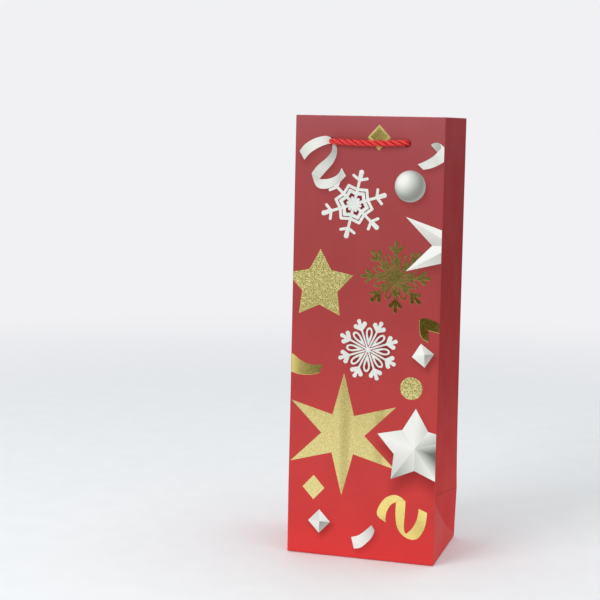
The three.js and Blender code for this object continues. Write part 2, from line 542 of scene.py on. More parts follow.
# %% Ribbons
def along_curve(points, count):
    """count points evenly spaced by the drawn points' own numbering, on the curve through them."""
    points = np.array([(*p, 0) for p in points], float)
    line = smooth_route(points, 0.05)
    nearest = [int(np.linalg.norm(line - p, axis=1).argmin()) for p in points]
    nearest[0], nearest[-1] = 0, len(line) - 1
    at = np.interp(np.linspace(0, len(points) - 1, count), range(len(points)), nearest)
    return line[np.round(at).astype(int)]


def ribbon_shape(name, one_edge, other_edge, greys, pieces=36):
    """A band between two lines. greys run along it."""
    bpy.ops.mesh.primitive_grid_add(x_subdivisions=pieces, y_subdivisions=1, size=2)
    obj = name_last(name)
    edges = along_curve(one_edge, pieces + 1), along_curve(other_edge, pieces + 1)
    step = np.round((points_of(obj)[:, 0] + 1) / 2 * pieces).astype(int)
    upper = points_of(obj)[:, 1] > 0
    set_points(obj, np.where(upper[:, None], edges[0][step], edges[1][step]))
    grey = np.interp(step / pieces, np.linspace(0, 1, len(greys)), greys)
    attribute = obj.data.attributes.new("shade", "FLOAT", "CORNER")
    attribute.data.foreach_set("value", [grey[loop.vertex_index] for loop in obj.data.loops])
    return face_up(obj)


# %% [markdown]
# A snowflake is one arm, drawn from bars with round ends and from loops, then copied round the middle.
# The copies overlap, so Boolean unions melt them into one clean plate.


# %% Bars, loops and snowflakes
def thick(obj, depth=1.0):
    """Gives a flat shape its thickness, upwards."""
    use_modifier(obj, "SOLIDIFY", thickness=depth, offset=1)
    return obj


def bar(start, end, width, end_width=None):
    """A bar with round ends, 1 mm thick: a disc whose far half is moved to the other end."""
    start, end = Vector((*start, 0)), Vector((*end, 0))
    end_width = width if end_width is None else end_width
    bpy.ops.mesh.primitive_circle_add(vertices=16, radius=width / 2, fill_type="NGON")
    obj = bpy.context.object
    forward = (end - start).normalized()
    for vertex in obj.data.vertices:
        ahead = vertex.co.dot(forward) > 1e-4
        vertex.co = end + vertex.co * (end_width / width) if ahead else start + vertex.co
    return thick(obj)


def loop_ring(low, high, width, line, count=22):
    """A drop-shaped loop of line between two heights, 1 mm thick, pointed at its lower end."""
    bpy.ops.mesh.primitive_circle_add(vertices=count, radius=1, fill_type="NOTHING")
    obj = bpy.context.object

    def drop(turn, bottom, top, wide):
        rise = (1 - math.cos(turn)) / 2
        return Vector((wide / 2 * math.sin(turn) * rise**0.7 * 1.18, bottom + (top - bottom) * rise, 0))

    edit(obj)
    bpy.ops.mesh.extrude_region_move()
    leave()
    turns = [2 * math.pi * i / count for i in range(count)]
    for i, turn in enumerate(turns):
        obj.data.vertices[i].co = drop(turn, low, high, width)
        obj.data.vertices[i + count].co = drop(turn, low + 3.2 * line, high - line, width - 2 * line)
    return thick(face_up(obj))


def unite(name, parts):
    """Melts overlapping solids into one, adding them one by one to a small disc in the middle."""
    bpy.ops.mesh.primitive_cylinder_add(vertices=16, radius=0.6, depth=1, location=(0, 0, 0.5))
    whole = name_last(name)
    bpy.ops.object.transform_apply(location=True)
    for part in parts:
        use_modifier(whole, "BOOLEAN", object=part, operation="UNION", solver="MANIFOLD")
        bpy.data.objects.remove(part)
    return whole


def snowflake(name, parts, centre, arms, first_turn):
    """One arm, united first, then copied round the middle and united again."""
    arm = unite(name + "_arm", parts)
    copies = []
    for i in range(arms):
        copy = bpy.data.objects.new("arm", arm.data.copy())
        copy.data.transform(Matrix.Rotation(-math.radians(first_turn + 360 * i / arms), 4, "Z"))
        bpy.context.scene.collection.objects.link(copy)
        copies.append(copy)
    bpy.data.objects.remove(arm)
    flake = unite(name, copies)
    flake.data.transform(Matrix.Translation((*centre, 0)))
    return flake

# %% [markdown]
# ## The motifs, drawn
#
# Every place below is in millimetres on the panel. What lies behind is drawn first, and each motif
# says on which level it lies, so that a star can overlap a snowflake.

# %% Gold shapes
designs = []  # (flat shape, finish, level)
shadows = []  # (corners, right, down, blur, strength) of the soft shadows printed on the paper


def add_design(obj, finish, level=0, shadow=None, corners=None):
    """Registers a motif. shadow is (right, down, blur, strength), printed for the given corners."""
    if not any(face.normal.z < -0.5 for face in obj.data.polygons):
        thick(obj)
    designs.append((obj, finish, level))
    if shadow:
        shadows.append((corners, *shadow))


def add_with_painted_edge_highlight(obj, finish, level, shade):
    """Pressed foil has a fine edge that catches the light. A painted highlight stands in for it: a lighter
    copy that peeps out beside it.
    """
    edge = bpy.data.objects.new(f"{obj.name}_edge", obj.data.copy())
    bpy.context.scene.collection.objects.link(edge)
    if "shade" in edge.data.attributes:
        edge.data.attributes.remove(edge.data.attributes["shade"])
    # the lighter copy is a painted highlight along the foil's edge
    set_shade(edge, lambda co: shade)
    edge.data.transform(Matrix.Translation((-0.28, -0.32, 0)))
    add_design(edge, "gold_foil", level - 1)
    add_design(obj, finish, level)


gold_star = outline_shape("brocade_star", star_corners((22.8, 217.6), 5, 28.4, 15.1))
add_with_painted_edge_highlight(gold_star, "gold_brocade", 1, 0.85)
for name, corners in (
    ("long_gold_star", star_corners((44.2, 99.6), 6, 49.4, 17.7)),
    ("upper_gold_diamond", diamond((67.9, 333.7), 9.2, 10)),
    ("lower_gold_diamond", diamond((21.1, 54.7), 9.1, 10)),
):
    add_design(outline_shape(name, corners), "gold_glitter")
DIAMOND_MIDDLE = (67.9, 334.3)
diamond_centre = outline_shape("upper_diamond_centre", diamond(DIAMOND_MIDDLE, 6.6, 7.2))
set_shade(diamond_centre, lambda co: 0.28 + 0.08 * math.copysign(1, co.x - DIAMOND_MIDDLE[0]))
add_design(diamond_centre, "gold_foil", 1)

bpy.ops.mesh.primitive_circle_add(vertices=56, radius=8.9, location=(98.6, 140.1, 0), fill_type="NGON")
dot = name_last("glitter_dot")
bpy.ops.object.transform_apply(location=True)
add_design(dot, "gold_brocade")
print(len(designs), "gold shapes")

# %% Ribbons in gold
# the third value of each ribbon is the shade of its painted edge highlight
for name, level, highlight_shade, one_edge, other_edge, greys, pieces in (
    (
        "left_gold_ribbon", 1, 0.8,
        [(-3, 163.5), (2.2, 161.2), (8.8, 156.5), (17, 154), (26.6, 154.6)],
        [(-4, 150), (1.2, 147.3), (8, 145.7), (17, 146), (24, 147.8)],
        [1, 0.8, 0.4, 0.22, 0.17], 36,
    ),
    (
        "right_gold_ribbon_upper", 1, 0.62,
        [(104, 194.6), (106.5, 195.8), (110, 195.8), (115, 194.2), (122, 191.5)],
        [(104.2, 189), (107.5, 188.6), (111, 187), (115, 186), (122, 184.6)],
        [0.02, 0, 0, 0.02, 0.05], 36,
    ),
    (
        "right_gold_ribbon_lower", 3, 0.62,
        [(104, 194.6), (104, 190), (104.6, 184.5), (106.6, 180.2), (110.8, 177.6)],
        [(110.5, 190), (110.9, 187), (111.2, 184), (111.4, 181), (111.6, 177.6)],
        [0.02, 0, 0, 0.03, 0.12], 20,
    ),
):
    band = ribbon_shape(name, one_edge, other_edge, greys, pieces)
    add_with_painted_edge_highlight(band, "gold_foil", level, highlight_shade)

for name, level, one_edge, other_edge, greys in (
    (
        "gold_curl_left", 0,
        [(81.4, 31.6), (75.5, 35), (73.7, 38.8), (76, 45.5), (80.6, 51.5), (87.5, 54.4), (92.5, 53.1),
         (96.5, 50)],
        [(80.7, 33.4), (80.9, 36), (81.2, 38.6), (82.6, 42.6), (85, 46.3), (88.2, 48.4), (91, 48.9),
         (93.8, 46.5)],
        [0.75, 0.85, 1, 1, 0.95, 1, 0.95, 0.85],
    ),
    (
        "gold_curl_middle", 1,
        [(89, 48.6), (88.8, 42), (89.2, 34), (90.8, 27.8), (94.5, 22.9), (98.5, 20.4), (102.6, 19.4)],
        [(96.6, 50), (96.4, 43), (96, 35), (95.8, 29), (96.9, 24.6), (98.4, 24.2), (100.5, 25.6)],
        [1, 0.95, 0.9, 0.85, 0.95, 1, 0.95],
    ),
    (
        "gold_curl_right", 0,
        [(98.2, 24.2), (102.5, 28.8), (105.6, 35), (106.8, 40.2), (107.3, 45)],
        [(102.6, 19.4), (107, 21), (111.3, 27.5), (113.2, 34), (114, 42.3)],
        [1, 0.85, 0.75, 0.9, 1],
    ),
):
    add_design(ribbon_shape(name, one_edge, other_edge, greys), "gold_foil", level)
print(len(designs), "shapes with the gold ribbons")

# %% Faceted shapes in white
STAR_MIDDLE = (102.8, 92.6)
DIAMOND_SHADOW = (2.2, -2.8, 4, 0.5)
for name, level, middle, corners, greys, shadow in (
    (
        "white_cut_star", 2, STAR_MIDDLE, star_corners(STAR_MIDDLE, 5, 31.8, 17.6),
        [
            (0.97, 0.93, 0.95), (0.95, 0.84, 0.97), (0.98, 0.98, 0.84), (0.93, 0.82, 0.64), (0.9, 0.22, 0.74),
            (0.72, 0.6, 1.0), (0.62, 0.95, -0.1), (0.62, -0.3, 0.7), (0.6, 0.28, 0.97), (0.9, 0.66, 0.98),
        ],
        (2.5, -9, 9, 0.5),
    ),
    (
        "white_side_star_upper", 2, (122, 256.5), [(90.9, 273.6), (112.2, 252.3), (122, 252.3), (122, 263.4)],
        [(0.72, 0.9, 0.6), (0.72, 0.6, 0.72), (0.9, 0.72, 0.9), (0.98, 0.95, 0.9)],
        None,
    ),
    (
        "white_side_star_lower", 2, (122, 248.6), [(91.9, 231.8), (122, 239.4), (122, 252.3), (112.2, 252.3)],
        [(0.55, 0.9, 0.62), (0.6, 0.6, 0.9), (1.0, 0.95, 1.0), (1.0, 1.0, 0.98)],
        (2.5, -5, 6, 0.3),
    ),
    (
        "white_turned_diamond", 0, (108.4, 167.2),
        [(105.4, 175.9), (98.5, 165), (108.8, 157.2), (116, 168.2)],
        [(1.0, 0.98, 0.95), (0.86, 0.92, 0.72), (0.25, 0.5, 0.35), (0.7, 0.55, 0.8)],
        DIAMOND_SHADOW,
    ),
    (
        "white_low_diamond", 0, (26.6, 27.2), diamond((26.3, 27.3), 9.1, 9.7),
        [(0.85, 0.75, 0.8), (0.97, 0.9, 0.8), (0.25, 0.45, 0.4), (0.9, 0.8, 0.97)],
        DIAMOND_SHADOW,
    ),
):
    add_design(facet_shape(name, middle, corners, greys), "white_ink", level, shadow, corners)
print(len(designs), "shapes with the cut ones,", len(shadows), "of them with a printed shadow")

# %% The ball, shaded as a real one would be
BALL_CENTRE, BALL_RADIUS = (93.5, 297), 12.2
bpy.ops.mesh.primitive_uv_sphere_add(segments=56, ring_count=28, radius=BALL_RADIUS)
ball = name_last("silver_ball")
edit(ball)
choose(ball, "faces", lambda face: face.calc_center_median().z < 0)
bpy.ops.mesh.delete(type="FACE")
leave()
LIGHT = Vector((-0.5, 0.42, 0.76)).normalized()


def ball_grey(co):
    """Dark away from the light, with a faint glow along the shaded rim."""
    facing = co / BALL_RADIUS
    glow = 0.16 * float(smooth_step(0.75, 1.0, (facing - LIGHT).length / 2 + 0.28 * (1 - facing.z)))
    return min(1.0, 0.16 + 0.88 * max(0.0, facing.dot(LIGHT)) ** 2.3 + glow)


set_shade(ball, ball_grey)
edit(ball)
bpy.ops.transform.resize(value=(1, 1, 0), center_override=(0, 0, 0))
bpy.ops.transform.translate(value=(*BALL_CENTRE, 0))
leave()
ball_rim = [
    (BALL_CENTRE[0] + BALL_RADIUS * math.cos(a), BALL_CENTRE[1] + BALL_RADIUS * math.sin(a))
    for a in np.linspace(0, 2 * math.pi, 24, endpoint=False)
]
add_design(ball, "white_ink", 0, (2, -3, 4, 0.35), ball_rim)
print("ball:", len(ball.data.polygons), "faces")

# %% Ribbons in silver
RIBBON_SHADOW = (1.8, -2.6, 4.5, 0.32)
for name, level, one_edge, other_edge, greys, shadow in (
    (
        "silver_curl_top", 1,
        [(3.6, 322), (7.4, 326.8), (13.8, 331), (20.5, 333.4), (26, 334), (29.7, 332.2), (33, 327.8)],
        [(7.6, 315.2), (12, 320.2), (17.6, 324.1), (23.8, 327), (28, 328.1), (30.4, 327.2), (30.8, 325)],
        [0.7, 0.8, 0.9, 0.85, 0.72, 0.6, 0.5], RIBBON_SHADOW,
    ),
    (
        "silver_curl_middle", 0,
        [(33, 327.8), (34.2, 323), (33.4, 318), (30.6, 312.5), (26.2, 307.5), (20.2, 300.6)],
        [(30.6, 327.4), (29.8, 322.5), (27.4, 318.8), (23.6, 315.2), (18.6, 311), (13.8, 305)],
        [0.5, 0.4, 0.5, 0.62, 0.72, 0.66], RIBBON_SHADOW,
    ),
    (
        "silver_curl_low", 1,
        [(13.8, 305), (15.4, 300), (17.4, 295.6), (20.6, 293.4), (26, 293.2), (32, 295.2), (37, 298.6),
         (41.9, 303.6)],
        [(20.2, 300.8), (20.4, 300.7), (22, 300.5), (25.6, 300.6), (30, 301.6), (34, 303.6), (36.6, 306.4),
         (38.2, 309.8)],
        [0.6, 0.66, 0.76, 0.85, 0.85, 0.74, 0.6, 0.66], RIBBON_SHADOW,
    ),
    (
        "silver_right_ribbon", 1,
        [(99, 314), (104.6, 316.4), (110.5, 320), (114.1, 323.4), (116.8, 327), (116, 330.2)],
        [(103.5, 310), (109.4, 311.2), (114.7, 313.5), (120.2, 317), (122.5, 321), (122, 325.3)],
        [0.78, 0.82, 0.74, 0.85, 0.9, 0.8], RIBBON_SHADOW,
    ),
    (
        "silver_right_ribbon_end", 0,
        [(109, 329), (110.8, 330.2), (112.8, 330.7), (115, 330.5), (117, 329)],
        [(109.2, 328.7), (110.6, 327.2), (112, 325.7), (113.4, 324.2), (115.2, 323.2)],
        [0.62, 0.55, 0.46, 0.42, 0.4], (0.5, -0.8, 2, 0.2),
    ),
    (
        "silver_low_ribbon", 0,
        [(53.2, 16.8), (58.5, 18.6), (62.8, 21.6), (66.4, 25), (69.6, 28.2)],
        [(55.6, 7.6), (60.6, 8.8), (66, 13.4), (70.2, 18.6), (72.2, 24)],
        [0.98, 1, 0.88, 0.72, 0.55], RIBBON_SHADOW,
    ),
):
    band = ribbon_shape(name, one_edge, other_edge, greys)
    add_design(band, "white_ink", level, shadow, one_edge + other_edge[::-1])
print(len(designs), "shapes with the silver ribbons")

# %% Snowflakes
def at_turn(reach, degrees, middle=(0, 0)):
    """A point at a distance from a middle, turned clockwise from straight up."""
    turn = math.radians(degrees)
    return (middle[0] + reach * math.sin(turn), middle[1] + reach * math.cos(turn))


def flake_outline(middle, arms, tips):
    """A flake's rough outline, for its shadow. tips are the (reach, degrees) of one arm."""
    return [at_turn(reach, degrees + 360 / arms * i, middle) for i in range(arms) for reach, degrees in tips]


def loop_beside(arms, *sizes):
    """A loop turned into the gap between two arms."""
    ring = loop_ring(*sizes)
    ring.data.transform(Matrix.Rotation(-math.pi / arms, 4, "Z"))
    return ring


# The upper flake: six crossed arms and a double zigzag round the middle.
middle = (48.9, 281.9)
parts = [
    bar((0, 5), (0, 21.5), 2.3),
    bar((0, 0), (0, 5.5), 1.5, 2.1),
    bar((0, 19.8), (0, 25.3), 3.2, 4.2),
    bar((0, 19.2), (-5.6, 21.6), 2.3),
    bar((0, 19.2), (5.6, 21.6), 2.3),
]
for gap in (-30, 30):
    parts += [
        bar((0, 11.6), at_turn(15.1, gap), 2.3),
        bar((0, 8.3), at_turn(11.0, gap), 2.7),
        bar((0, 0), at_turn(5, gap), 2, 2.4),
    ]
flake = snowflake("silver_snowflake", parts, middle, 6, 12.7)
outline = flake_outline(middle, 6, ((12.5, 12.7), (14.5, 42.7)))
add_design(flake, "silver_foil", 0, (0.4, -0.4, 1.6, 0.6), outline)

# The lower flake: eight arms with clover tips, and a drop-shaped loop in each gap.
middle = (63.0, 168.5)
loop = loop_beside(8, 2.8, 17.8, 6.5, 1.65)
parts = [
    bar((0, 0), (0, 21), 1.2, 1.8),
    bar((0, 20), (0, 23.3), 2.3, 3.6),
    bar((0, 16.6), (-3.7, 20.2), 2.6, 3.7),
    bar((0, 16.6), (3.7, 20.2), 2.6, 3.7),
    bar((0, 17), (0, 20), 3.4),
    loop,
]
flake = snowflake("white_snowflake", parts, middle, 8, -19)
outline = flake_outline(middle, 8, ((20, -19), (16, 3.5)))
add_design(flake, "silver_foil", 0, (1.2, -1.6, 3, 0.5), outline)

# The gold flake: eight slim arms of two lines, with leaves and long loops.
middle = (84.1, 226.8)
loop = loop_beside(8, 4, 18.8, 6, 1.0)
parts = [
    bar((-1.05, 0), (-1.05, 19), 0.9),
    bar((1.05, 0), (1.05, 19), 0.9),
    bar((0, 18.6), (0, 26.6), 1.8, 3),
    bar((0, 18.2), (-4, 22.8), 2, 2.8),
    bar((0, 18.2), (4, 22.8), 2, 2.8),
    bar((0, 19.4), (0, 22), 4, 2.4),
    bar((0, 9.6), (-2.7, 13), 1.5, 2.4),
    bar((0, 9.6), (2.7, 13), 1.5, 2.4),
    bar((0, 10), (0, 14.5), 3, 1.6),
    bar((0, 0), (0, 5.5), 2.6, 1.4),
    loop,
]
flake = snowflake("gold_snowflake", parts, middle, 8, 0)
set_shade(flake, lambda co: 0.13 * float(smooth_step(-19, -8, co.y - middle[1])))
add_with_painted_edge_highlight(flake, "gold_foil", 1, 0.3)
print(f"{len(designs)} motifs drawn")

# %% [markdown]
# ## From the drawing board to the paper
#
# Each motif is trimmed where the panel ends, cut on an 8 mm grid, and laid on the face. The back gets
# a copy of its own, turned half round. Only then do both follow the waves of the paper.

# %% Lay the motifs on both panels
TRIM = 0.55  # mm from the panel's edge, where the fold starts to turn
GRID = 8
FOIL = 0.05  # thickness of foil or ink in mm, a little more than the real one
STEP = 0.03  # how much higher the next level lies
SUNK = 0.01  # how far a motif's underside is pressed into the paper


def cut_across(obj, place, along, clear=False):
    """Cuts a motif across. With clear, drops what lies beyond the cut and closes it."""
    edit(obj)
    bpy.ops.mesh.bisect(plane_co=place, plane_no=along, use_fill=clear, clear_outer=clear)
    leave()


def lay_on_panel(obj, level):
    """Trims a motif, cuts it on the grid and stands it on the face of the front panel."""
    low, high = points_of(obj).min(axis=0), points_of(obj).max(axis=0)
    if low[0] < TRIM:
        cut_across(obj, (TRIM, 0, 0), (-1, 0, 0), True)
    if high[0] > PANEL - TRIM:
        cut_across(obj, (PANEL - TRIM, 0, 0), (1, 0, 0), True)
    edit(obj)
    bpy.ops.mesh.quads_convert_to_tris()
    leave()
    for axis, along in enumerate((Vector((1, 0, 0)), Vector((0, 1, 0)))):
        for place in range(GRID, int(HEIGHT / MM), GRID):
            if low[axis] < place < high[axis]:
                cut_across(obj, place * along, along)
    points = points_of(obj)
    height = points[:, 2] * FOIL + level * STEP - SUNK
    standing = np.stack([points[:, 0] - PANEL / 2, -HALF_DEPTH / MM - height, points[:, 1]], axis=1) * MM
    set_points(obj, standing)


for flat, finish, level in designs:
    motif = flat.name
    lay_on_panel(flat, level)
    flat.name = flat.data.name = f"front_{motif}"
    back = bpy.data.objects.new(f"back_{motif}", flat.data.copy())
    bpy.context.scene.collection.objects.link(back)
    back.data.transform(Matrix.Rotation(math.pi, 4, "Z"))
    for piece in (flat, back):
        set_points(piece, paper_shift(points_of(piece)))
        piece["finish"] = finish
        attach(piece, "bag")
prints = [obj for obj in bpy.context.scene.objects if "finish" in obj]
print(f"{len(prints)} prints, {sum(len(obj.data.polygons) for obj in prints)} faces")

# %% [markdown]
# ## The folded sheet
#
# The walls, the turned-in edge and the start of the bottom are one sheet on the real bag, so they are
# one mesh here. It starts as a box without lid or floor. The upright edges get the small radius that
# laminated paper takes at a fold, the walls are divided finely enough to wave, and then the two open
# rims are extruded on: the lower one curls under, and the upper one rolls over the card and runs down
# inside as the hem.

# %% Build the walls
FOLD = 0.9 * MM  # outer radius of an upright fold
LIP = 0.9 * MM  # height of the roll over the top
CURL = 0.6 * MM  # radius at the foot
CELL = 2.5 * MM

bpy.ops.mesh.primitive_cube_add(size=1, location=(0, 0, 0))
sheet = name_last("folded_paper_sheet")
wall_height = HEIGHT - LIP - CURL
edit(sheet)
bpy.ops.transform.resize(value=(WIDTH, 2 * HALF_DEPTH, wall_height), center_override=(0, 0, 0))
bpy.ops.transform.translate(value=(0, 0, CURL + wall_height / 2))
choose(sheet, "faces", lambda face: abs(face.normal.z) > 0.9)
bpy.ops.mesh.delete(type="ONLY_FACE")


def is_upright(edge):
    step = edge.verts[0].co - edge.verts[1].co
    return abs(step.z) > 0.9 * step.length


choose(sheet, "edges", is_upright)
bpy.ops.mesh.bevel(offset=FOLD, segments=3, affect="EDGES")
for cuts in (6, 19):
    choose(sheet, "edges", is_upright)
    bpy.ops.mesh.subdivide(number_cuts=cuts)
for axis, across in ((0, WIDTH), (1, 2 * HALF_DEPTH)):

    def runs_along(edge, axis=axis):
        step = edge.verts[0].co - edge.verts[1].co
        return abs(step[axis]) > 0.9 * step.length and step.length > 10 * MM

    choose(sheet, "edges", runs_along)
    bpy.ops.mesh.subdivide(number_cuts=round(across / CELL) - 1)
print("walls:", len(bmesh.from_edit_mesh(sheet.data).faces), "faces")


# %% Roll the top edge over and curl the foot under
def extrude_rim(level, reach, rise, inset=0.0):
    """Extrudes the open rim at a level, up by rise and inwards by the inset. Returns where it is then."""

    def on_rim(edge):
        return edge.is_boundary and all(abs(vertex.co.z - level) < 1e-6 for vertex in edge.verts)

    choose(sheet, "edges", on_rim)
    bpy.ops.mesh.extrude_region_move(TRANSFORM_OT_translate={"value": (0, 0, rise)})
    smaller = reach - inset
    bpy.ops.transform.resize(value=(*(smaller / reach), 1), center_override=(0, 0, 0))
    return level + rise, smaller


def roll_rim(level, height, depth, angle, steps):
    """Rolls the rim inwards through part of an ellipse. A negative height rolls it under."""
    reach = np.array((HALF_WIDTH, HALF_DEPTH))
    turns = np.radians(np.linspace(0, angle, steps + 1))
    for now, after in zip(turns, turns[1:]):
        rise = height * (math.sin(after) - math.sin(now))
        level, reach = extrude_rim(level, reach, rise, depth * (math.cos(now) - math.cos(after)))
    return level, reach


hem_gap = np.array((HALF_WIDTH - SIDE_HEM_FACE, HALF_DEPTH - HEM_FACE))
level, reach = roll_rim(HEIGHT - LIP, LIP, hem_gap / 2, 180, 8)
hem_rows = round((level - HEM_BOTTOM) / CELL)
for _ in range(hem_rows):
    level, reach = extrude_rim(level, reach, -(HEIGHT - LIP - HEM_BOTTOM) / hem_rows)
roll_rim(CURL, -CURL, CURL, 90, 4)
leave()
print(f"sheet: {len(sheet.data.polygons)} faces, hem ends at {level / MM:.1f} mm")

# %% [markdown]
# The rope holes are punched through the face and the hem together. In a mesh that is already a grid,
# a clean round hole needs no Boolean: the faces inside it are removed, and the ragged edge that is
# left is drawn onto a circle.

# %% Punch the rope holes
HOLE_RADIUS = 3.3 * MM
FINER_ROUND_HOLE = 8 * MM


def off_hole(co):
    """Distance from the axis of the nearest rope hole, for a point on a face or a hem."""
    return math.hypot(abs(co.x) - HOLE_X, co.z - HOLE_Z) if abs(co.y) > HEM_FACE - MM else 1.0


edit(sheet)
choose(sheet, "faces", lambda face: off_hole(face.calc_center_median()) < FINER_ROUND_HOLE)
bpy.ops.mesh.subdivide(number_cuts=2, quadcorner="INNERVERT")
choose(sheet, "faces", lambda face: off_hole(face.calc_center_median()) < HOLE_RADIUS)
bpy.ops.mesh.delete(type="FACE")
mesh = bmesh.from_edit_mesh(sheet.data)
for vertex in mesh.verts:
    if vertex.is_boundary and off_hole(vertex.co) < 2 * HOLE_RADIUS:
        arm = Vector((abs(vertex.co.x) - HOLE_X, 0, vertex.co.z - HOLE_Z))
        place = arm.normalized() * HOLE_RADIUS
        vertex.co.x = math.copysign(HOLE_X + place.x, vertex.co.x)
        vertex.co.z = HOLE_Z + place.z
bmesh.update_edit_mesh(sheet.data)
leave()
print("sheet with its holes:", len(sheet.data.polygons), "faces")

# %% [markdown]
# The soft shadows round the white shapes are part of the print. They are stored on the sheet's points
# as a number from 0 to 1, found from the distance to each motif's outline, and the paper's material
# darkens its ink by that number. The sheet then takes its waves, and last its thickness: the inner
# side of the paper has a material of its own, because it isn't printed.


# %% Print the shadows, bend the sheet, give it thickness
def distance_to(corners, points):
    """How far points are outside a closed outline, 0 inside it."""
    corners = np.array(corners, float)
    best = np.full(len(points), 1e9)
    inside = np.zeros(len(points), bool)
    for a, b in zip(corners, np.roll(corners, -1, axis=0)):
        step = b - a
        part = np.clip(((points - a) @ step) / (step @ step), 0, 1)
        best = np.minimum(best, np.linalg.norm(points - a - part[:, None] * step, axis=1))
        crosses = (a[1] > points[:, 1]) != (b[1] > points[:, 1])
        rise = step[1] if abs(step[1]) > 1e-9 else 1e-9
        inside ^= crosses & (points[:, 0] < a[0] + (points[:, 1] - a[1]) / rise * step[0])
    return np.where(inside, -best, best)


points = points_of(sheet)
drawn = np.stack([-np.sign(points[:, 1]) * points[:, 0] / MM + PANEL / 2, points[:, 2] / MM], axis=1)
dark = np.zeros(len(points))
for corners, right, down, blur, strength in shadows:
    away = distance_to(corners, drawn - (right, down))
    dark = np.maximum(dark, strength * (1 - smooth_step(-blur, blur, away)))
dark *= smooth_step(HALF_DEPTH - 0.2 * MM, HALF_DEPTH - 0.02 * MM, np.abs(points[:, 1]))
sheet.data.attributes.new("ink_shadow", "FLOAT", "POINT").data.foreach_set("value", dark.astype(np.float32))
set_points(sheet, paper_shift(points))

sheet.data.materials.append(None)  # filled with the print below
sheet.data.materials.append(None)  # and with the bare paper
use_modifier(sheet, "SOLIDIFY", thickness=PAPER, offset=-1, material_offset=1, material_offset_rim=1)
pick(sheet)
bpy.ops.object.shade_smooth_by_angle(angle=math.radians(50))
faces = [f"{face}_{part}" for face in ("front", "back") for part in ("panel", "hem")]
side_parts = ("hem", "gusset_front_half", "gusset_back_half")
sides = [f"{side}_{part}" for side in ("left", "right") for part in side_parts]
hand_over(sheet, "bag", *faces, *sides, slot="printed_paper")
print("folded sheet:", len(sheet.data.polygons), "faces")

# %% [markdown]
# ## The board in the base and the seam
#
# A loose greyboard stiffens the base. It is die-cut, so its corners are rounded and its upper edges
# are slightly crushed. The sheet's own end is the seam tab, glued inside the left side. It is divided
# along its height, so that it follows the same creases as the side that it is glued to.


# %% Board and seam tab
BOARD_CORNER = 2.5 * MM
CRUSHED_EDGE = 0.25 * MM
SEAM_ROWS = 90


def box_piece(name, node):
    """A cube sized and placed like a CAD node's box, left open in edit mode."""
    low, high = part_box(node)
    bpy.ops.object.select_all(action="DESELECT")
    bpy.ops.mesh.primitive_cube_add(size=1, location=(0, 0, 0))
    obj = name_last(name)
    edit(obj)
    bpy.ops.transform.resize(value=high - low, center_override=(0, 0, 0))
    bpy.ops.transform.translate(value=(high + low) / 2)
    return obj


board = box_piece("base_greyboard", "base_board")
choose(board, "edges", is_upright)
bpy.ops.mesh.bevel(offset=BOARD_CORNER, segments=5, affect="EDGES")
board_middle = sum(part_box("base_board"), Vector()).z / 2
choose(board, "edges", lambda edge: all(vertex.co.z > board_middle for vertex in edge.verts))
bpy.ops.mesh.bevel(offset=CRUSHED_EDGE, segments=2, affect="EDGES")
leave()
hand_over(board, "board", "base_board", slot="greyboard")

seam = box_piece("glued_seam_tab", "side_seam_tab")
choose(seam, "edges", is_upright)
bpy.ops.mesh.subdivide(number_cuts=SEAM_ROWS)
choose(seam, "edges", lambda edge: abs(edge.verts[0].co.y - edge.verts[1].co.y) > 10 * MM)
bpy.ops.mesh.subdivide(number_cuts=5)
leave()
set_points(seam, paper_shift(points_of(seam)))
pick(seam)
bpy.ops.object.shade_smooth_by_angle(angle=math.radians(30))
hand_over(seam, "bag", "side_seam_tab", slot="white_paper")
print("board and seam:", len(board.data.polygons), len(seam.data.polygons), "faces")

# %% [markdown]
# ## Wiring materials
#
# Materials are built from nodes. Here each output of a node is held as a wire, and plain sums with
# wires add Math nodes, so that each material below reads as the formula of what it does.


# %% Helpers for nodes
def add_node(tree, kind, output=0, settings=None, **inputs):
    """Adds a node. Inputs go by name, or by place as _0, and are values or wires. Returns one output."""
    node = tree.nodes.new("ShaderNode" + kind)
    for name, value in (settings or {}).items():
        setattr(node, name, value)
    for name, value in inputs.items():
        socket = node.inputs[int(name[1:]) if name[1:].isdigit() else name.replace("_", " ")]
        if isinstance(value, Wire):
            value.to(socket)
        else:
            socket.default_value = value
    return Wire(node.outputs[output])


class Wire:
    """An output of a node, used like a number: each sum adds a Math node to its tree."""

    def __init__(self, socket):
        self.socket = socket
        self.tree = socket.id_data

    def to(self, socket):
        self.tree.links.new(self.socket, socket)

    def math(self, operation, other=0.0):
        return add_node(self.tree, "Math", 0, {"operation": operation}, _0=self, _1=other)

    def __add__(self, other):
        return self.math("ADD", other)

    def __sub__(self, other):
        return self.math("SUBTRACT", other)

    def __rsub__(self, number):
        return add_node(self.tree, "Math", 0, {"operation": "SUBTRACT"}, _0=number, _1=self)

    def __mul__(self, other):
        return self.math("MULTIPLY", other)

    def __truediv__(self, other):
        return self.math("DIVIDE", other)

    def __abs__(self):
        return self.math("ABSOLUTE")

    def held(self):
        """The last sum, held between 0 and 1."""
        self.socket.node.use_clamp = True
        return self

    def spread(self, low, high, to_low=0.0, to_high=1.0):
        """Maps a range smoothly onto another and holds it at both ends."""
        settings = {"interpolation_type": "SMOOTHSTEP"}
        return add_node(self.tree, "MapRange", 0, settings, _0=self, _1=low, _2=high, _3=to_low, _4=to_high)

    def blend(self, first, second, way="MIX"):
        """The first colour where this is 0, the second where it is 1."""
        settings = {"data_type": "RGBA", "blend_type": way}
        return add_node(self.tree, "Mix", 2, settings, _0=self, _6=first, _7=second)

    def ramp(self, stops):
        """Colours along this value. stops are (place, colour)."""
        output = add_node(self.tree, "ValToRGB", Fac=self)
        elements = output.socket.node.color_ramp.elements
        for i, (place, tone) in enumerate(stops):
            element = elements[i] if i < 2 else elements.new(place)
            element.position = place
            element.color = tone
        return output


